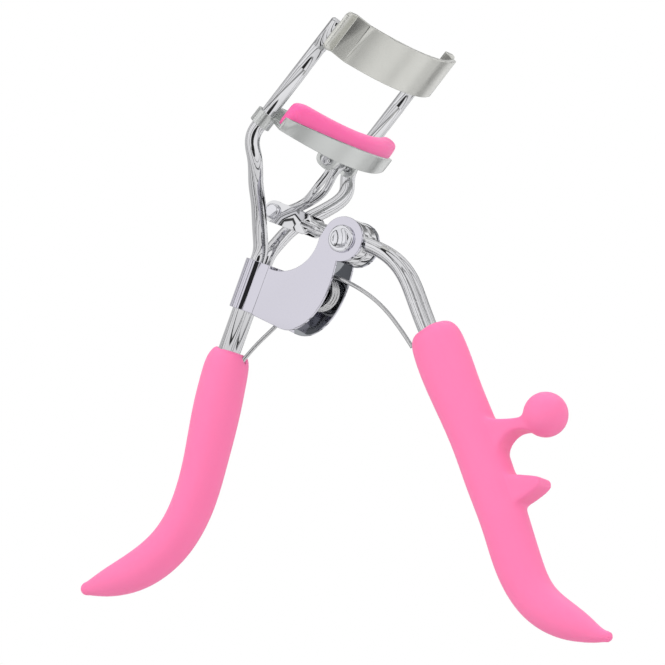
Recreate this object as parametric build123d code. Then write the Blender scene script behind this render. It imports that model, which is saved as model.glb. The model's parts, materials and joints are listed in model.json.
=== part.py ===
from build123d import *
import math
import os

# Eyelash curler, millimetres.
# Origin: main rivet axis, middle of the tool's width.  +Z up, X across the open handles,
# Y across the jaws.  The tool is drawn wide open, as the spring holds it.

# ---- rods, lever wires and thin wires ----
ROD_R = 1.35            # round frame rods
ROD_Y = 1.40            # half spacing where the two rods lie side by side
LEVER_R = 1.32          # bent lever wires
LEVER_Y = 1.38
WIRE_R = 0.68           # pusher wires
WIRE_Y = 0.76
SPRING_R = 0.38         # spring wire

# ---- main joint ----
SHANK_R = 1.5           # rivet shank
BORE_R = 1.55           # bore of the lever eyes
EYE_R = 4.0             # flattened lever eye
BOSS_R = 4.1            # round end of each bracket cheek
HEAD_R = 2.5            # rivet head
HEAD_H = 0.75
CHEEK_IN = 2.82         # inner face of a bracket cheek
CHEEK_OUT = 3.47        # outer face
ARM = 15.8              # rivet to link pin
ARM_DEG = 155.4

# ---- guides and jaws ----
GUIDE_DEG = 47.0        # lean of the two guides
GUIDE_Y = 18.2          # half spacing of the guides
GUIDE_FOOT = (-8.1, 19.7)
GUIDE_TOP = 22.6        # length above the foot
BEND_T = -1.4           # where the straight part of a guide begins
JAW_R = 40.0            # curve of both jaws
JAW_CENTRE = -32.4
PLATE_LOW = 17.3        # upper jaw plate, measured along the guides
PLATE_HIGH = 25.4
PLATE_THICK = 0.8
PLATE_CENTRE = -32.0    # the plate passes outside the guides
FOLD_Y = 16.2           # where the plate is folded back towards its guide
WING_Q = 1.8            # wing that lies on the outside of each guide
WING_END = 20.3
CHANNEL_HALF = 2.3      # lower jaw channel, half width
CHANNEL_WALL = 0.6
CHANNEL_LOW = 1.0
CHANNEL_HIGH = 5.4
EYELET_R = 2.0
EYELET_BORE = 1.41
PAD_HALF = 1.68
PAD_TOP = 6.9
PAD_SPAN = 27.4         # half angle of the pad
CHANNEL_SPAN = 28.4
LUG_Y = 3.65            # hooks of the pusher wires under the lower jaw
LUG_T = -0.1
LUG_Q = 7.46
LUG_SLIP = 1.12         # lost motion in the lug slot
LUG_SHIFT = 0.26        # slot centre, towards the hollow of the jaw

# ---- spring ----
COIL_X = -6.4
COIL_Z = -8.5
COIL_R = 3.1
COIL_TURNS = 3.125
COIL_PITCH = 0.95

lean = math.radians(GUIDE_DEG)
guide_dir = (math.cos(lean), 0, math.sin(lean))
outward = (math.sin(lean), 0, -math.cos(lean))
jaw_frame = Plane(origin=(GUIDE_FOOT[0], 0, GUIDE_FOOT[1]), x_dir=outward, z_dir=guide_dir).location

rod_lean = math.radians(22.5)
rod_dir = Vector(math.sin(rod_lean), 0, math.cos(rod_lean))
CLAMP_TOP = (-18.1, -1.6)
CLAMP_LENGTH = 9.2
link_pin_x = ARM * math.cos(math.radians(ARM_DEG))
link_pin_z = ARM * math.sin(math.radians(ARM_DEG))


def at_jaw(q, y, t):
    """A point given by its place in the jaw frame."""
    x = GUIDE_FOOT[0] + q * outward[0] + t * guide_dir[0]
    z = GUIDE_FOOT[1] + q * outward[2] + t * guide_dir[2]
    return (x, y, z)


def tube(path, radius):
    """A round bar along one edge."""
    section = Plane(origin=path @ 0, z_dir=path % 0) * Circle(radius)
    return sweep(section, path=path)


def round_bar(radius, start, end):
    """A straight round bar between two points."""
    axis = Vector(*end) - Vector(*start)
    foot = Plane(origin=start, z_dir=axis.normalized())
    return foot * Cylinder(radius, axis.length, align=(Align.CENTER, Align.CENTER, Align.MIN))


def disc_y(radius, x, z, y_low, y_high):
    """A disc whose axis runs across the tool."""
    return round_bar(radius, (x, y_low, z), (x, y_high, z))


def other_side(shape):
    return mirror(shape, about=Plane.XZ)


def arc_band(radius, half_width, span_deg, t_low, t_high):
    """A curved bar that follows the jaw, in the jaw frame."""
    outer = radius + half_width
    inner = radius - half_width
    a = math.radians(span_deg)
    outline = [
        ThreePointArc(
            (outer * math.cos(a), -outer * math.sin(a)), (outer, 0), (outer * math.cos(a), outer * math.sin(a))
        ),
        Line((outer * math.cos(a), outer * math.sin(a)), (inner * math.cos(a), inner * math.sin(a))),
        ThreePointArc(
            (inner * math.cos(a), inner * math.sin(a)), (inner, 0), (inner * math.cos(a), -inner * math.sin(a))
        ),
        Line((inner * math.cos(a), -inner * math.sin(a)), (outer * math.cos(a), -outer * math.sin(a))),
    ]
    solid = extrude(make_face(outline), amount=t_high - t_low)
    return Pos(JAW_CENTRE, 0, t_low) * solid


# ---------------------------------------------------------------- frame
def frame_rod():
    """One frame rod: handle, clamp, lyre-shaped spread and straight guide."""
    top = Vector(CLAMP_TOP[0], ROD_Y, CLAMP_TOP[1])
    low = top - rod_dir * 27.5
    shank = round_bar(ROD_R, low, top)
    bend_end = at_jaw(0, GUIDE_Y, BEND_T)
    leg = Spline(
        top,
        (-16.7, 3.2, 1.9),
        (-15.6, 5.6, 4.5),
        (-13.9, 9.2, 7.1),
        (-12.0, 13.6, 9.7),
        (-10.2, 17.5, 13.5),
        bend_end,
        tangents=[rod_dir, Vector(*guide_dir)],
    )
    guide = round_bar(ROD_R, bend_end, at_jaw(0, GUIDE_Y, GUIDE_TOP))
    guide = fillet(guide.edges().filter_by(GeomType.CIRCLE).sort_by(Axis.Z)[-1], 0.6)
    rod = shank + tube(leg, ROD_R) + guide
    for turn in (-1, 1):
        facet = Rot(0, 0, -62 * turn) * Pos(ROD_R + 0.55, 0, 14.2) * Box(2, 4, 4.6)
        rod -= jaw_frame * (Pos(0, GUIDE_Y, 0) * facet)
    return rod


def clamp_shape(length, rod_gap):
    """The U-shaped clamp: round over each rod, a crease, then out to the cheek plane."""
    inner = ROD_R + rod_gap
    outer = inner + CHEEK_OUT - CHEEK_IN
    q_crease = 3.6

    def u_outline(r, side_y, q_end):
        turn = math.radians(48)
        q_leave = r * math.cos(turn)
        y_leave = ROD_Y + r * math.sin(turn)
        return make_face(
            [
                Line((q_end, -side_y), (q_crease, -side_y)),
                Line((q_crease, -side_y), (q_leave, -y_leave)),
                CenterArc((0, -ROD_Y), r, -48, -132),
                Line((-r, -ROD_Y), (-r, ROD_Y)),
                CenterArc((0, ROD_Y), r, 180, -132),
                Line((q_leave, y_leave), (q_crease, side_y)),
                Line((q_crease, side_y), (q_end, side_y)),
                Line((q_end, side_y), (q_end, -side_y)),
            ]
        )

    band = u_outline(outer, CHEEK_OUT, q_crease + 0.6) - u_outline(inner, CHEEK_IN, q_crease + 1.6)
    return extrude(band, amount=length)


def saddle_bracket():
    """Folded sheet: clamp round the rods and two cheeks that carry the rivet."""
    low = Vector(CLAMP_TOP[0], 0, CLAMP_TOP[1]) - rod_dir * (CLAMP_LENGTH + 0.4)
    place = Plane(origin=low, x_dir=(rod_dir.Z, 0, -rod_dir.X), z_dir=rod_dir).location
    clamp = place * clamp_shape(CLAMP_LENGTH, 0.05)
    with BuildSketch(Plane.XZ) as cheek:
        with BuildLine():
            ThreePointArc((-1.2, -BOSS_R + 0.18), (3.35, 2.36), (-3.0, 2.8))
            Line((-3.0, 2.8), (-4.6, 0.7))
            ThreePointArc((-4.6, 0.7), (-8.6, -4.1), (-14.3, -4.2))
            Line((-14.3, -4.2), (-14.9, -3.9))
            Line((-14.9, -3.9), (-18.3, -12.1))
            Line((-18.3, -12.1), (-13.4, -14.7))
            Spline((-13.4, -14.7), (-9.75, -15.5), (-5.9, -13.3), (-3.0, -9.2), (-1.2, -BOSS_R + 0.18))
        make_face()
    sheet = extrude(cheek.sketch, amount=CHEEK_OUT - CHEEK_IN)
    near = Pos(0, -CHEEK_IN, 0) * sheet
    far = Pos(0, CHEEK_OUT, 0) * sheet
    bracket = clamp + near + far
    return bracket - disc_y(SHANK_R + 0.02, 0, 0, -6, 6)


def main_rivet():
    """Shank with a low, dished head on both sides."""
    shank = disc_y(SHANK_R, 0, 0, -CHEEK_OUT - 0.1, CHEEK_OUT + 0.1)
    head = disc_y(HEAD_R, 0, 0, -CHEEK_OUT - HEAD_H, -CHEEK_OUT - 0.01)
    head = fillet(head.edges().filter_by(GeomType.CIRCLE).sort_by(Axis.Y)[0], 0.35)
    head -= Pos(0, -CHEEK_OUT - HEAD_H - 4.0, 0) * Sphere(4.4)
    return shank + head + other_side(head)


def upper_jaw_plate():
    """Curved clamping plate, folded back at each end to lie on the outside of its guide."""
    fold_q = PLATE_CENTRE + math.sqrt(JAW_R**2 - FOLD_Y**2)
    bow = ThreePointArc((fold_q, -FOLD_Y), (PLATE_CENTRE + JAW_R, 0), (fold_q, FOLD_Y))
    section = trace(bow, line_width=PLATE_THICK)
    for side in (-1, 1):
        fold = (fold_q, side * FOLD_Y)
        seat = (WING_Q, side * (GUIDE_Y - 0.9))
        end = (WING_Q, side * WING_END)
        section += trace(Line(fold, seat), line_width=PLATE_THICK)
        section += trace(Line(seat, end), line_width=PLATE_THICK)
        section += Pos(*fold) * Circle(PLATE_THICK / 2)
        section += Pos(*seat) * Circle(PLATE_THICK / 2)
    plate = Pos(0, 0, PLATE_LOW) * extrude(section, amount=PLATE_HIGH - PLATE_LOW)
    ends = plate.edges().filter_by(Axis.X).group_by(Axis.Y)
    plate = fillet(ends[0] + ends[-1], 1.0)
    return jaw_frame * plate


def left_handle():
    """Plain handle, a swept grip that narrows to a rounded tip."""
    stations = [
        (-24.3, -17.6, 2.9, 3.0),
        (-24.75, -18.7, 3.6, 3.8),
        (-25.7, -21.9, 4.15, 4.2),
        (-27.6, -29.4, 4.35, 4.2),
        (-29.5, -37.0, 4.0, 4.1),
        (-32.0, -44.6, 3.85, 4.0),
        (-36.6, -51.6, 3.8, 3.8),
        (-44.1, -56.3, 3.5, 3.4),
        (-50.0, -57.9, 2.4, 2.5),
        (-53.7, -58.5, 1.2, 1.2),
    ]
    grip = grip_loft(stations)
    for side in (-1, 1):
        top = Vector(CLAMP_TOP[0], side * ROD_Y, CLAMP_TOP[1])
        grip -= round_bar(ROD_R + 0.02, top - rod_dir * 27.6, top - rod_dir * 12)
    mouth = Vector(CLAMP_TOP[0], 0, CLAMP_TOP[1]) - rod_dir * 17.2
    pocket = Plane(origin=mouth, x_dir=(rod_dir.Z, 0, -rod_dir.X), z_dir=rod_dir) * Box(2.76, 2.8, 6)
    grip -= pocket
    grip -= round_bar(0.65, (-19.8, 0, -16.9), (-24.4, 0, -23.2))
    return grip


def grip_loft(stations):
    """Elliptical sections (x, z, half width, half thickness) joined into one grip."""
    sections = []
    count = len(stations)
    for i in range(count):
        x, z, half_width, half_thick = stations[i]
        before = stations[max(i - 1, 0)]
        after = stations[min(i + 1, count - 1)]
        heading = Vector(after[0] - before[0], 0, after[1] - before[1]).normalized()
        plane = Plane(origin=(x, 0, z), x_dir=(0, 1, 0), z_dir=heading)
        sections.append(plane * Ellipse(half_thick, half_width))
    tip = stations[-1]
    return loft(sections) + Pos(tip[0], 0, tip[1]) * Sphere(1.08 * tip[2])


def torsion_spring():
    """One wire: leg to the plain grip, coil between the cheeks, leg to the hooked grip."""
    width = COIL_TURNS * COIL_PITCH
    first = math.radians(125)
    steps = 31
    coil = []
    for i in range(steps + 1):
        angle = first - 2 * math.pi * COIL_TURNS * i / steps
        y = width * (0.5 - i / steps)
        coil.append((COIL_X + COIL_R * math.cos(angle), y, COIL_Z + COIL_R * math.sin(angle)))
    left = [(-22.5, 0, -20.2), (-19.0, 0.8, -16.3), (-14.2, 1.4, -12.0)]
    right = [(-1.6, -1.45, -6.7), (2.2, -1.3, -8.8), (6.2, -0.8, -12.0), (9.2, -0.3, -15.6), (12.3, 0, -20.2)]
    return tube(Spline(*left, *coil, *right), SPRING_R)


# ---------------------------------------------------------------- lever
def long_arm_path():
    """Centre line of a lever wire from the rivet down into its handle."""
    return Spline(
        (0, LEVER_Y, 0),
        (5.3, LEVER_Y, -1.7),
        (8.9, LEVER_Y, -4.2),
        (11.5, LEVER_Y, -7.6),
        (13.4, LEVER_Y, -12.0),
        (15.4, LEVER_Y, -17.0),
        (20.2, LEVER_Y, -27.0),
        tangents=[Vector(1, 0, -0.12), Vector(0.42, 0, -0.9)],
    )


def lever_rod():
    """One lever wire: paddle at the link pin, eye on the rivet, long arm into the handle."""
    arm = Vector(link_pin_x, 0, link_pin_z).normalized()
    wrist = arm * 9.6
    side = Vector(0, LEVER_Y, 0)
    short_arm = round_bar(LEVER_R, side, wrist + side)
    long_arm = tube(long_arm_path(), LEVER_R)
    eye = disc_y(EYE_R, 0, 0, LEVER_Y - 1.25, LEVER_Y + 1.25)
    eye = fillet(eye.edges().filter_by(GeomType.CIRCLE), 0.4)
    paddle_low = 1.55
    paddle_high = LEVER_Y + 1.25
    paddle_frame = Plane(origin=(0, 0, 0), x_dir=arm, z_dir=(0, 1, 0)).location
    with BuildSketch() as shape:
        with Locations((11.6, 0)):
            RectangleRounded(7.4, 3.6, 1.0)
        with Locations((ARM, 0)):
            Circle(2.0)
        with Locations((13.6, 0)):
            Rectangle(4.4, 3.9)
    paddle = paddle_frame * (Pos(0, 0, paddle_low) * extrude(shape.sketch, amount=paddle_high - paddle_low))
    rod = short_arm + long_arm + eye + paddle
    rod -= disc_y(2.6, link_pin_x, link_pin_z, -1, paddle_low)
    rod -= disc_y(BORE_R, 0, 0, -6, 6)
    rod -= disc_y(0.82, link_pin_x, link_pin_z, -6, 6)
    return rod


def link_pin():
    """Small headed pin through the lever paddles."""
    reach = LEVER_Y + LEVER_R
    pin = disc_y(0.8, link_pin_x, link_pin_z, -reach - 0.2, reach + 0.2)
    head = disc_y(1.4, link_pin_x, link_pin_z, -reach - 0.7, -reach - 0.01)
    head = fillet(head.edges().filter_by(GeomType.CIRCLE).sort_by(Axis.Y)[0], 0.4)
    return pin + head + other_side(head)


def right_handle():
    """Handle with a ball on a stem, a finger notch and a thorn below it, in one moulding."""
    stations = [
        (16.3, -17.4, 3.4, 2.8),
        (16.7, -18.3, 4.3, 3.8),
        (17.7, -20.8, 4.85, 4.3),
        (21.3, -29.6, 4.75, 4.3),
        (24.9, -37.6, 4.6, 4.3),
        (27.9, -45.4, 4.6, 4.3),
        (31.0, -54.0, 4.35, 4.2),
        (33.6, -61.6, 4.3, 4.0),
        (37.2, -67.9, 3.9, 3.7),
        (43.0, -72.2, 3.3, 3.2),
        (47.4, -74.3, 2.1, 2.2),
        (50.9, -75.5, 1.0, 1.0),
    ]
    grip = grip_loft(stations)
    with BuildSketch(Plane.XZ) as horn:
        with BuildLine():
            Line((24.6, -30.0), (27.6, -34.6))
            Spline((27.6, -34.6), (31.5, -35.2), (36.0, -35.1))
            Line((36.0, -35.1), (36.6, -37.9))
            ThreePointArc((36.6, -37.9), (30.6, -41.2), (33.0, -45.3))
            Spline((33.0, -45.3), (35.4, -45.6), (37.8, -46.0))
            ThreePointArc((37.8, -46.0), (38.9, -46.9), (38.4, -48.1))
            Spline((38.4, -48.1), (37.2, -49.0), (35.0, -50.2), (33.0, -51.2))
            Line((33.0, -51.2), (30.0, -52.0))
            Line((30.0, -52.0), (24.6, -30.0))
        make_face()
    web = Pos(0, 2.6, 0) * extrude(horn.sketch, amount=5.2)
    grip += web
    grip += Pos(38.9, 0, -34.8) * Sphere(4.1)
    grip -= Plane(origin=(16.2, 0, -18.0), x_dir=(0.92, 0, 0.39), z_dir=(-0.39, 0, 0.92)) * Box(2.7, 2.76, 4)
    grip -= round_bar(0.65, (11.1, 0, -17.7), (13.7, 0, -23.3))
    bore = tube(long_arm_path(), LEVER_R + 0.02)
    return grip - bore - other_side(bore)


# ---------------------------------------------------------------- pusher link
def pusher_wire():
    """Thin wire from the link pin to the hook in the jaw lug."""
    hook = Vector(*at_jaw(LUG_Q, 0, LUG_T))
    eye = disc_y(1.75, link_pin_x, link_pin_z, WIRE_Y - 0.58, WIRE_Y + 0.58)
    start = Vector(link_pin_x + 1.2, WIRE_Y, link_pin_z + 0.3)
    path = Spline(
        start,
        (-8.6, 0.95, 8.3),
        (-6.0, 1.6, 10.4),
        (hook.X, LUG_Y - 1.5, hook.Z),
        tangents=[Vector(1, 0, 0.2), Vector(0.35, 0.75, 0.35)],
    )
    hook_start = Vector(hook.X, LUG_Y - 1.5, hook.Z)
    turn = Pos(*hook_start) * Sphere(WIRE_R)
    end = disc_y(WIRE_R, hook.X, hook.Z, LUG_Y - 1.5, LUG_Y + 0.9)
    head = disc_y(0.95, hook.X, hook.Z, LUG_Y + 0.5, LUG_Y + 1.15)
    head = fillet(head.edges().filter_by(GeomType.CIRCLE).sort_by(Axis.Y)[-1], 0.3)
    wire = eye + tube(path, WIRE_R) + turn + end + head
    return wire - disc_y(0.85, link_pin_x, link_pin_z, -2, 2)


# ---------------------------------------------------------------- lower jaw
def lower_jaw_channel():
    """Curved open channel with an eyelet on each guide."""
    trough = arc_band(JAW_R, CHANNEL_HALF, CHANNEL_SPAN, CHANNEL_LOW, CHANNEL_HIGH)
    trough -= arc_band(JAW_R, CHANNEL_HALF - CHANNEL_WALL, 35.0, CHANNEL_LOW + CHANNEL_WALL, CHANNEL_HIGH + 1)
    with BuildSketch(Plane.YZ) as side_view:
        with BuildLine():
            ThreePointArc((-20.0, 3.5), (0, 4.7), (20.0, 3.5))
            Line((20.0, 3.5), (20.0, 0.9))
            Line((20.0, 0.9), (-20.0, 0.9))
            Line((-20.0, 0.9), (-20.0, 3.5))
        make_face()
    envelope = Pos(-10, 0, 0) * extrude(side_view.sketch, amount=40)
    jaw = trough & envelope
    eyelet_low = CHANNEL_LOW - 2.0
    eyelet_high = CHANNEL_LOW + CHANNEL_WALL
    for side in (-1, 1):
        ring = Cylinder(EYELET_R, eyelet_high - eyelet_low)
        jaw += Pos(0, side * GUIDE_Y, (eyelet_low + eyelet_high) / 2) * ring
    for side in (-1, 1):
        jaw -= Pos(0, side * GUIDE_Y, 2) * Cylinder(EYELET_BORE, 12)
    return jaw_frame * jaw


def jaw_lug():
    """Tab under the channel with the slot that holds one pusher wire."""
    wall = 0.8
    slot_r = WIRE_R + 0.1
    q_mid = LUG_Q - LUG_SHIFT
    width = LUG_SLIP + 2 * (slot_r + wall)
    with BuildSketch(Plane.XZ) as tab:
        with Locations((q_mid, (CHANNEL_LOW + LUG_T) / 2)):
            Rectangle(width, CHANNEL_LOW - LUG_T)
        with Locations((q_mid, LUG_T)):
            SlotOverall(width, 2 * (slot_r + wall))
    low_tab = Pos(q_mid, 0, CHANNEL_LOW - 3) * Box(8, 20, 6)
    lug = Pos(0, LUG_Y + 0.4, 0) * extrude(tab.sketch, amount=0.8)
    lug = lug & low_tab
    with BuildSketch(Plane.XZ) as slot:
        with Locations((q_mid, LUG_T)):
            SlotOverall(2 * slot_r + LUG_SLIP, 2 * slot_r)
    lug -= Pos(0, LUG_Y + 1, 0) * extrude(slot.sketch, amount=2)
    return jaw_frame * lug


def lash_pad():
    """Silicone pad pressed into the channel, rounded ends and soft top edges."""
    pad = arc_band(JAW_R, PAD_HALF, PAD_SPAN, CHANNEL_LOW + CHANNEL_WALL + 0.01, PAD_TOP)
    corners = pad.edges().filter_by(Axis.Z)
    pad = fillet(corners, PAD_HALF - 0.1)
    rim = pad.faces().sort_by(Axis.Z)[-1].edges()
    pad = fillet(rim, 0.7)
    return jaw_frame * pad


def save(shape, name):
    shape.label = name
    export_step(shape, "parts/" + name + ".step")
    print(name, round(shape.volume, 2), len(shape.solids()))


os.makedirs("parts", exist_ok=True)
rod = frame_rod()
save(rod, "frame_rod_far")
save(other_side(rod), "frame_rod_near")
save(saddle_bracket(), "saddle_bracket")
save(main_rivet(), "main_rivet")
save(upper_jaw_plate(), "upper_jaw_plate")
save(left_handle(), "left_handle")
save(torsion_spring(), "torsion_spring")
lever = lever_rod()
save(lever, "lever_rod_far")
save(other_side(lever), "lever_rod_near")
save(link_pin(), "link_pin")
save(right_handle(), "right_handle")
pusher = pusher_wire()
save(pusher, "pusher_wire_far")
save(other_side(pusher), "pusher_wire_near")
save(lower_jaw_channel(), "lower_jaw_channel")
lug = jaw_lug()
save(lug, "jaw_lug_far")
save(other_side(lug), "jaw_lug_near")
save(lash_pad(), "lash_pad")
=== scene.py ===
import json
import math

import bmesh
import bpy
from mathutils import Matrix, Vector


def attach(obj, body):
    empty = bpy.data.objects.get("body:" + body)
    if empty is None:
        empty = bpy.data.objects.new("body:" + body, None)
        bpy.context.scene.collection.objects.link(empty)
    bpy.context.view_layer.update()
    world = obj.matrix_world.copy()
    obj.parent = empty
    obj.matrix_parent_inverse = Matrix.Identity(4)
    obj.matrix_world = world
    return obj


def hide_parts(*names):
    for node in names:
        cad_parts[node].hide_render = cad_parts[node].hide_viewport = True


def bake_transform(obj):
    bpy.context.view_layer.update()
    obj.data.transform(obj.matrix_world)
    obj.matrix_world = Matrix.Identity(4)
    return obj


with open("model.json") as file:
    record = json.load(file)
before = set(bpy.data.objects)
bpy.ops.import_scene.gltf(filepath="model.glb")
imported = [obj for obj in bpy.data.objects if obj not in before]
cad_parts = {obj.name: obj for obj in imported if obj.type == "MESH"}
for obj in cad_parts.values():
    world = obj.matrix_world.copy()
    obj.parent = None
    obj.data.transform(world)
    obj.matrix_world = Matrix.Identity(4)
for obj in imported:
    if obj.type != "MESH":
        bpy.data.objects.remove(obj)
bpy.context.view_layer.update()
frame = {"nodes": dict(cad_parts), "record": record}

MM = 0.001
GUIDE_LEAN = math.radians(47)                                        # the guides, from level
ALONG = Vector((math.cos(GUIDE_LEAN), 0, math.sin(GUIDE_LEAN)))      # along the jaw guides
OUTWARD = Vector((math.sin(GUIDE_LEAN), 0, -math.cos(GUIDE_LEAN)))   # towards the bulge of the jaws
GUIDE_FOOT = Vector((-8.1, 0, 19.7))                                 # origin of the jaw frame, mm

# Noise stays mostly inside this band, so remap stretches the band to the range asked for.
NOISE_LOW, NOISE_HIGH = 0.3, 0.7

# The inside of the saddle, in metres: between the cheeks and past the clamp. Shade is painted into the sheet
# colour there.
SADDLE_HALF_GAP = 0.0030
CLAMP_END_X = -0.0130
SADDLE_PAINTED_SHADE = (0.33, 0.34, 0.36)

SHEET_NODES = ("saddle_bracket", "upper_jaw_plate", "lower_jaw_channel")
LUG_NODES = ("jaw_lug_near", "jaw_lug_far")
# Nodes that are not simply smooth shaded: each of these is made by a function of its own.
SPECIAL_NODES = SHEET_NODES + LUG_NODES + ("left_handle", "right_handle", "lash_pad", "torsion_spring")

SHEET_EDGE, LUG_EDGE = 0.14, 0.1                                     # edge radius, mm
GRIP_VOXEL = 0.34                                                    # mm
LEFT_GRIP_PASSES, RIGHT_GRIP_PASSES = 8, 14                          # smoothing passes
PLAIN_SMOOTH_ANGLE = 32                                              # degrees

CAMERA_LENS = 606                                                    # mm, on a 36 mm sensor
CAMERA_AZIMUTH, CAMERA_ELEVATION = math.radians(28.0), math.radians(-11.1)
CAMERA_DISTANCE = 2.0                                                # metres
CAMERA_TARGET = Vector((-3.74, 0, -16.1)) * MM
CARD_DIRECTION = (0.461, -0.867, -0.190)                             # towards the camera, rounded


def jaw_point(q, y, t):
    """Metres, from millimetres in the jaw frame."""
    return (GUIDE_FOOT + OUTWARD * q + ALONG * t + Vector((0, y, 0))) * MM


# ------------------------------------------------------------------ materials
def new_material(name):
    material = bpy.data.materials.new(name)
    material.use_nodes = True
    tree = material.node_tree
    tree.nodes.clear()
    output = tree.nodes.new("ShaderNodeOutputMaterial")
    shader = tree.nodes.new("ShaderNodeBsdfPrincipled")
    tree.links.new(shader.outputs[0], output.inputs[0])
    return material, tree, shader


def noise(tree, scale, detail=3.0, stretch=(1, 1, 1)):
    place = tree.nodes.new("ShaderNodeTexCoord")
    mapping = tree.nodes.new("ShaderNodeMapping")
    mapping.inputs["Scale"].default_value = stretch
    texture = tree.nodes.new("ShaderNodeTexNoise")
    texture.inputs["Scale"].default_value = scale
    texture.inputs["Detail"].default_value = detail
    tree.links.new(place.outputs["Object"], mapping.inputs["Vector"])
    tree.links.new(mapping.outputs["Vector"], texture.inputs["Vector"])
    return texture.outputs["Fac"]


def remap(tree, value, low, high):
    node = tree.nodes.new("ShaderNodeMapRange")
    node.inputs["From Min"].default_value = NOISE_LOW
    node.inputs["From Max"].default_value = NOISE_HIGH
    node.inputs["To Min"].default_value = low
    node.inputs["To Max"].default_value = high
    tree.links.new(value, node.inputs["Value"])
    return node.outputs["Result"]


def bump(tree, shader, height, distance, strength):
    node = tree.nodes.new("ShaderNodeBump")
    node.inputs["Distance"].default_value = distance
    node.inputs["Strength"].default_value = strength
    tree.links.new(height, node.inputs["Height"])
    tree.links.new(node.outputs["Normal"], shader.inputs["Normal"])


def mix_colour(tree, factor, first, second):
    node = tree.nodes.new("ShaderNodeMix")
    node.data_type = "RGBA"
    node.inputs["A"].default_value = (*first, 1)
    node.inputs["B"].default_value = (*second, 1)
    tree.links.new(factor, node.inputs["Factor"])
    return node.outputs["Result"]


def chrome(name, tint, rough_low, rough_high, wave, painted_shade_inside=False):
    """Plated metal: cloudy polish and faint waviness. The painted shade inside the saddle takes the place of
    the cloudy tint.
    """
    material, tree, shader = new_material(name)
    if painted_shade_inside:
        colour = mix_colour(tree, saddle_shade_mask(tree), tint, SADDLE_PAINTED_SHADE)
    else:
        colour = mix_colour(tree, noise(tree, 120, 3), [c * 0.95 for c in tint], tint)
    tree.links.new(colour, shader.inputs["Base Color"])
    shader.inputs["Metallic"].default_value = 1.0
    roughness = remap(tree, noise(tree, 220, 3), rough_low, rough_high)
    tree.links.new(roughness, shader.inputs["Roughness"])
    bump(tree, shader, noise(tree, 90, 2), 0.0004, wave)
    return material


def saddle_shade_mask(tree):
    """One between the two cheeks of the saddle, where a darker colour is painted as shade, and zero
    elsewhere.
    """
    place = tree.nodes.new("ShaderNodeTexCoord")
    parts = tree.nodes.new("ShaderNodeSeparateXYZ")
    tree.links.new(place.outputs["Object"], parts.inputs[0])
    width = tree.nodes.new("ShaderNodeMath")
    width.operation = "ABSOLUTE"
    tree.links.new(parts.outputs["Y"], width.inputs[0])
    between = tree.nodes.new("ShaderNodeMath")
    between.operation = "LESS_THAN"
    between.inputs[1].default_value = SADDLE_HALF_GAP
    tree.links.new(width.outputs[0], between.inputs[0])
    past_clamp = tree.nodes.new("ShaderNodeMath")
    past_clamp.operation = "GREATER_THAN"
    past_clamp.inputs[1].default_value = CLAMP_END_X
    tree.links.new(parts.outputs["X"], past_clamp.inputs[0])
    both = tree.nodes.new("ShaderNodeMath")
    both.operation = "MULTIPLY"
    tree.links.new(between.outputs[0], both.inputs[0])
    tree.links.new(past_clamp.outputs[0], both.inputs[1])
    return both.outputs[0]


def grip_plastic(name):
    """Satin moulded plastic, lit softly through its surface, with a fine spark-eroded grain."""
    material, tree, shader = new_material(name)
    colour = mix_colour(tree, noise(tree, 70, 2), (0.965, 0.196, 0.420), (0.975, 0.212, 0.440))
    tree.links.new(colour, shader.inputs["Base Color"])
    tree.links.new(remap(tree, noise(tree, 1200, 3), 0.42, 0.52), shader.inputs["Roughness"])
    shader.inputs["Subsurface Weight"].default_value = 0.12
    shader.inputs["Subsurface Radius"].default_value = (1.0, 0.4, 0.6)
    shader.inputs["Subsurface Scale"].default_value = 0.002
    shader.inputs["Specular IOR Level"].default_value = 0.35
    bump(tree, shader, noise(tree, 3500, 2), 0.00006, 0.12)
    return material


def silicone(name):
    """Soft matte silicone rubber, deeper pink than the grips."""
    material, tree, shader = new_material(name)
    colour = mix_colour(tree, noise(tree, 260, 3), (0.99, 0.135, 0.395), (1.0, 0.155, 0.425))
    tree.links.new(colour, shader.inputs["Base Color"])
    tree.links.new(remap(tree, noise(tree, 1500, 3), 0.5, 0.62), shader.inputs["Roughness"])
    shader.inputs["Subsurface Weight"].default_value = 0.25
    shader.inputs["Subsurface Radius"].default_value = (1.0, 0.3, 0.5)
    shader.inputs["Subsurface Scale"].default_value = 0.0015
    shader.inputs["Sheen Weight"].default_value = 0.15
    shader.inputs["Specular IOR Level"].default_value = 0.3
    bump(tree, shader, noise(tree, 2400, 3), 0.00005, 0.2)
    return material


materials = {
    "frame_chrome": chrome("frame_chrome", (0.76, 0.76, 0.78), 0.03, 0.05, 0.004),
    "lever_chrome": chrome("lever_chrome", (0.76, 0.76, 0.78), 0.03, 0.05, 0.004),
    # The sheet chrome has painted shade between the saddle's cheeks.
    "sheet_chrome": chrome("sheet_chrome", (0.65, 0.635, 0.71), 0.04, 0.07, 0.03, painted_shade_inside=True),
    "jaw_chrome": chrome("jaw_chrome", (0.72, 0.735, 0.725), 0.22, 0.27, 0.04),
    "plate_chrome": chrome("plate_chrome", (0.77, 0.77, 0.73), 0.22, 0.27, 0.04),
    "rivet_chrome": chrome("rivet_chrome", (0.78, 0.78, 0.82), 0.06, 0.10, 0.08),
    "wire_chrome": chrome("wire_chrome", (0.74, 0.74, 0.76), 0.05, 0.08, 0.02),
    "spring_wire": chrome("spring_wire", (0.68, 0.68, 0.69), 0.16, 0.24, 0.10),
    "left_grip": grip_plastic("left_grip"),
    "right_grip": grip_plastic("right_grip"),
    "pad_silicone": silicone("pad_silicone"),
}
slot_of = {part["node"]: part["material_slot"] for part in frame["record"]["subparts"]}
body_of = {node: body for body, members in frame["record"]["behaviour"]["bodies"].items() for node in members}


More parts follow.
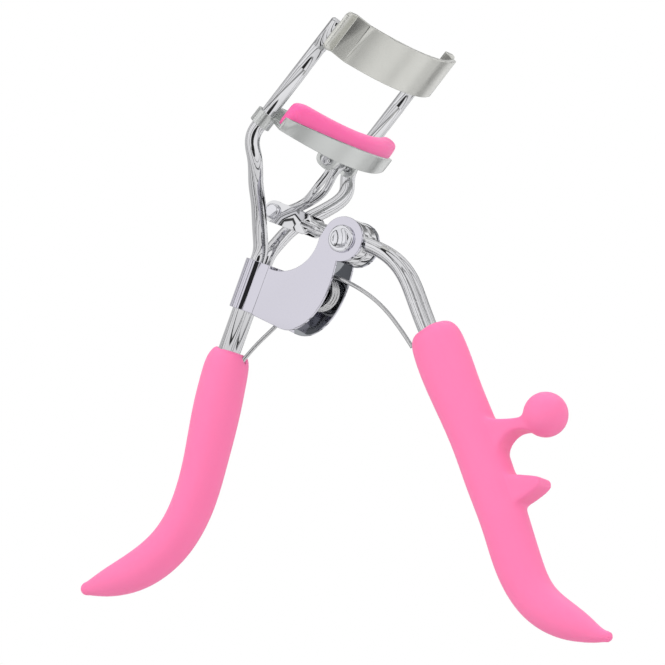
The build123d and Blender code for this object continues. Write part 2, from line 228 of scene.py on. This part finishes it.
# ------------------------------------------------------------------ pieces
def copy_of(node, name):
    """A visual copy of a CAD node, welded into one skin."""
    source = frame["nodes"][node]
    mesh = source.data.copy()
    mesh.name = name
    skin = bmesh.new()
    skin.from_mesh(mesh)
    bmesh.ops.remove_doubles(skin, verts=skin.verts, dist=2e-6)
    bmesh.ops.dissolve_degenerate(skin, dist=1e-6, edges=skin.edges)
    skin.to_mesh(mesh)
    skin.free()
    piece = bpy.data.objects.new(name, mesh)
    bpy.context.scene.collection.objects.link(piece)
    mesh.materials.clear()
    mesh.materials.append(materials[slot_of[node]])
    return piece


def smooth_by_angle(piece, degrees):
    bpy.ops.object.select_all(action="DESELECT")
    piece.select_set(True)
    bpy.context.view_layer.objects.active = piece
    bpy.ops.object.shade_smooth_by_angle(angle=math.radians(degrees))


def softened(node, width, degrees=38):
    """The CAD node with a small radius on its sharp edges, as plating leaves them."""
    piece = copy_of(node, "soft_" + node)
    flat = piece.modifiers.new("flat", "DECIMATE")
    flat.decimate_type = "DISSOLVE"
    flat.angle_limit = math.radians(0.6)
    edge = piece.modifiers.new("edge", "BEVEL")
    edge.width = width * MM
    edge.segments = 3
    edge.limit_method = "ANGLE"
    edge.angle_limit = math.radians(degrees)
    edge.harden_normals = True
    edge.use_clamp_overlap = True
    smooth_by_angle(piece, degrees)
    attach(piece, body_of[node])
    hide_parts(node)


def plain(node, degrees):
    """A copy of the CAD node in its own shape, smooth shaded."""
    piece = copy_of(node, "skin_" + node)
    smooth_by_angle(piece, degrees)
    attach(piece, body_of[node])
    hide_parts(node)


def moulded(node, voxel, passes):
    """A grip, remeshed and smoothed so that its parts run into each other. Metal does not mirror it."""
    piece = copy_of(node, "moulded_" + node)
    body = piece.modifiers.new("body", "REMESH")
    body.mode = "VOXEL"
    body.voxel_size = voxel * MM
    body.use_smooth_shade = True
    blend = piece.modifiers.new("blend", "SMOOTH")
    blend.factor = 0.5
    blend.iterations = passes
    piece.visible_glossy = False
    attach(piece, body_of[node])
    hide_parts(node)


def spring():
    """The spring, smooth shaded and baked in place; it is not attached to any body."""
    piece = copy_of("torsion_spring", "spring_wire")
    smooth_by_angle(piece, 60)
    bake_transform(piece)
    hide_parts("torsion_spring")


def pad():
    """Silicone pad: a soft bar that follows the jaw, with a domed top that droops at both ends. All in mm."""
    radius = 40.0
    centre = -32.4
    half_span = math.radians(27.2)
    half_width = 1.68
    bottom = 1.62
    top = 6.88
    bunching = 0.985          # sets the rings closer together towards the ends
    end_width = 0.04          # of the full width, at the very ends
    droop_depth = 0.9
    droop_reach = 3.4
    profile = [(-1.0, 0.0), (-1.0, 0.42), (-1.0, 0.74), (-0.86, 0.93), (-0.45, 1.0), (0.0, 1.01),
               (0.45, 1.0), (0.86, 0.93), (1.0, 0.74), (1.0, 0.42), (1.0, 0.0), (0.0, 0.0)]
    rings = 64
    shell = bmesh.new()
    loops = []
    for i in range(rings + 1):
        s = -1 + 2 * i / rings
        s = math.sin(s * math.pi / 2 * bunching) / math.sin(math.pi / 2 * bunching)
        angle = s * half_span
        from_end = (1 - abs(s)) * half_span * radius
        if from_end < half_width:
            round_end = math.sqrt(max(1 - ((half_width - from_end) / half_width) ** 2, 0.0))
            taper = round_end * (1 - end_width) + end_width
        else:
            taper = 1.0
        droop = droop_depth * max(0.0, 1 - from_end / droop_reach) ** 2
        loop = []
        for a, b in profile:
            r = radius + a * half_width * taper
            t = bottom + (top - droop - bottom) * b
            loop.append(shell.verts.new(jaw_point(centre + r * math.cos(angle), r * math.sin(angle), t)))
        loops.append(loop)
    count = len(profile)
    for first, second in zip(loops, loops[1:]):
        for k in range(count):
            shell.faces.new((first[k], first[(k + 1) % count], second[(k + 1) % count], second[k]))
    shell.faces.new(list(reversed(loops[0])))
    shell.faces.new(loops[-1])
    bmesh.ops.recalc_face_normals(shell, faces=shell.faces)
    mesh = bpy.data.meshes.new("silicone_pad")
    shell.to_mesh(mesh)
    shell.free()
    piece = bpy.data.objects.new("silicone_pad", mesh)
    bpy.context.scene.collection.objects.link(piece)
    mesh.materials.append(materials["pad_silicone"])
    for polygon in mesh.polygons:
        polygon.use_smooth = True
    piece.visible_glossy = False
    subdivision = piece.modifiers.new("soft", "SUBSURF")
    subdivision.levels = 2
    subdivision.render_levels = 2
    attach(piece, "lower_jaw")
    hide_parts("lash_pad")


for node in SHEET_NODES:
    softened(node, SHEET_EDGE)
for node in LUG_NODES:
    softened(node, LUG_EDGE)
moulded("left_handle", GRIP_VOXEL, LEFT_GRIP_PASSES)
moulded("right_handle", GRIP_VOXEL, RIGHT_GRIP_PASSES)
for node in sorted(frame["nodes"]):
    if node not in SPECIAL_NODES:
        plain(node, PLAIN_SMOOTH_ANGLE)
spring()
pad()


# ------------------------------------------------------------------ studio
def soft_light(name, place, aim, size, power):
    """An area light in metres and watts. It lights the part but is not mirrored in the metal."""
    data = bpy.data.lights.new(name, "AREA")
    data.shape = "RECTANGLE"
    data.size = size[0]
    data.size_y = size[1]
    data.energy = power
    lamp = bpy.data.objects.new(name, data)
    bpy.context.scene.collection.objects.link(lamp)
    lamp.location = place
    lamp.rotation_euler = (Vector(aim) - Vector(place)).to_track_quat("-Z", "Y").to_euler()
    lamp.visible_camera = False
    lamp.visible_glossy = False


def floor_plane():
    """A pale floor, a metre down and out of sight of a camera that looks up. Metal does not mirror it."""
    mesh = bpy.data.meshes.new("floor")
    reach = 30.0
    depth = -1.0
    corners = [(-reach, -reach, depth), (reach, -reach, depth), (reach, reach, depth), (-reach, reach, depth)]
    mesh.from_pydata(corners, [], [(0, 1, 2, 3)])
    ground = bpy.data.objects.new("floor", mesh)
    bpy.context.scene.collection.objects.link(ground)
    material, tree, shader = new_material("floor_paper")
    colour = mix_colour(tree, noise(tree, 3, 2), (0.93, 0.93, 0.93), (0.96, 0.96, 0.96))
    tree.links.new(colour, shader.inputs["Base Color"])
    shader.inputs["Roughness"].default_value = 0.9
    mesh.materials.append(material)
    ground.visible_glossy = False


def studio_world():
    """White to the camera, plain fill to matte surfaces. Metal mirrors a bright tent with dark flags."""
    world = bpy.data.worlds.new("tent")
    bpy.context.scene.world = world
    world.use_nodes = True
    tree = world.node_tree
    tree.nodes.clear()
    output = tree.nodes.new("ShaderNodeOutputWorld")
    place = tree.nodes.new("ShaderNodeTexCoord")

    def strips(direction, stops):
        """Grey bands across one direction, as (position from 0 to 1, brightness)."""
        dot = tree.nodes.new("ShaderNodeVectorMath")
        dot.operation = "DOT_PRODUCT"
        dot.inputs[1].default_value = Vector(direction).normalized()
        tree.links.new(place.outputs["Generated"], dot.inputs[0])
        shift = tree.nodes.new("ShaderNodeMapRange")
        shift.inputs["From Min"].default_value = -1
        shift.inputs["From Max"].default_value = 1
        tree.links.new(dot.outputs["Value"], shift.inputs["Value"])
        ramp = tree.nodes.new("ShaderNodeValToRGB")
        tree.links.new(shift.outputs["Result"], ramp.inputs["Fac"])
        marks = ramp.color_ramp.elements
        while len(marks) > 1:
            marks.remove(marks[-1])
        marks[0].position, marks[0].color = stops[0][0], (stops[0][1],) * 3 + (1,)
        for position, value in stops[1:]:
            marks.new(position).color = (value,) * 3 + (1,)
        return ramp.outputs["Color"]

    upright = strips((0.85, -0.52, 0.05), [
        (0.0, 0.55), (0.085, 0.70), (0.095, 0.12), (0.11, 0.12), (0.12, 0.80), (0.20, 0.85), (0.21, 0.04),
        (0.245, 0.04), (0.255, 0.88), (0.29, 0.92), (0.30, 0.15), (0.312, 0.15), (0.32, 0.92), (0.445, 0.94),
        (0.455, 0.25), (0.47, 0.25), (0.48, 0.94), (0.64, 0.92), (0.65, 0.05), (0.68, 0.05), (0.69, 0.88),
        (0.81, 0.94), (0.82, 0.30), (0.835, 0.30), (0.845, 0.94), (1.0, 0.92)])
    level = strips((0.1, 0.05, 1.0), [
        (0.0, 0.78), (0.18, 0.86), (0.40, 0.93), (0.60, 1.0), (0.73, 1.0), (0.76, 0.30), (0.79, 0.25),
        (0.83, 0.85), (1.0, 0.92)])
    card = strips(CARD_DIRECTION, [(0.0, 1.0), (0.958, 1.0), (0.968, 0.03), (1.0, 0.03)])

    def multiply(first, second):
        node = tree.nodes.new("ShaderNodeMix")
        node.data_type = "RGBA"
        node.blend_type = "MULTIPLY"
        node.inputs["Factor"].default_value = 1.0
        tree.links.new(first, node.inputs["A"])
        tree.links.new(second, node.inputs["B"])
        return node.outputs["Result"]

    def background(strength):
        node = tree.nodes.new("ShaderNodeBackground")
        node.inputs["Color"].default_value = (1, 1, 1, 1)
        node.inputs["Strength"].default_value = strength
        return node

    def by_ray(ray, other, chosen):
        node = tree.nodes.new("ShaderNodeMixShader")
        tree.links.new(paths.outputs[ray], node.inputs["Fac"])
        tree.links.new(other, node.inputs[1])
        tree.links.new(chosen, node.inputs[2])
        return node.outputs[0]

    paths = tree.nodes.new("ShaderNodeLightPath")
    tent = background(1.1)
    tree.links.new(multiply(multiply(upright, level), card), tent.inputs["Color"])
    fill = background(0.82)
    white = background(1.0)
    mirrored = by_ray("Is Glossy Ray", fill.outputs[0], tent.outputs[0])
    seen = by_ray("Is Camera Ray", mirrored, white.outputs[0])
    tree.links.new(seen, output.inputs["Surface"])


def camera():
    """From the front, turned 28 degrees and looking up by 11."""
    data = bpy.data.cameras.new("camera")
    data.lens = CAMERA_LENS
    data.sensor_width = 36
    data.clip_start = 0.05
    data.clip_end = 120
    cam = bpy.data.objects.new("camera", data)
    bpy.context.scene.collection.objects.link(cam)
    level = math.cos(CAMERA_ELEVATION)
    back = Vector((math.sin(CAMERA_AZIMUTH) * level, -math.cos(CAMERA_AZIMUTH) * level,
                   math.sin(CAMERA_ELEVATION)))
    cam.location = CAMERA_TARGET + back * CAMERA_DISTANCE
    cam.rotation_mode = "QUATERNION"
    cam.rotation_quaternion = back.to_track_quat("Z", "Y")
    bpy.context.scene.camera = cam


studio_world()
floor_plane()
soft_light("key", (-0.45, -0.75, 0.55), (0, 0, -0.02), (0.6, 0.5), 4.0)
soft_light("side", (0.75, -0.35, 0.25), (0, 0, -0.02), (0.25, 0.7), 1.6)
soft_light("over", (0.0, 0.35, 0.85), (0, 0, 0), (0.8, 0.4), 2.5)
camera()
bpy.context.scene.view_settings.view_transform = "Standard"
bpy.context.scene.view_settings.look = "None"
bpy.context.scene.view_settings.exposure = 0.0
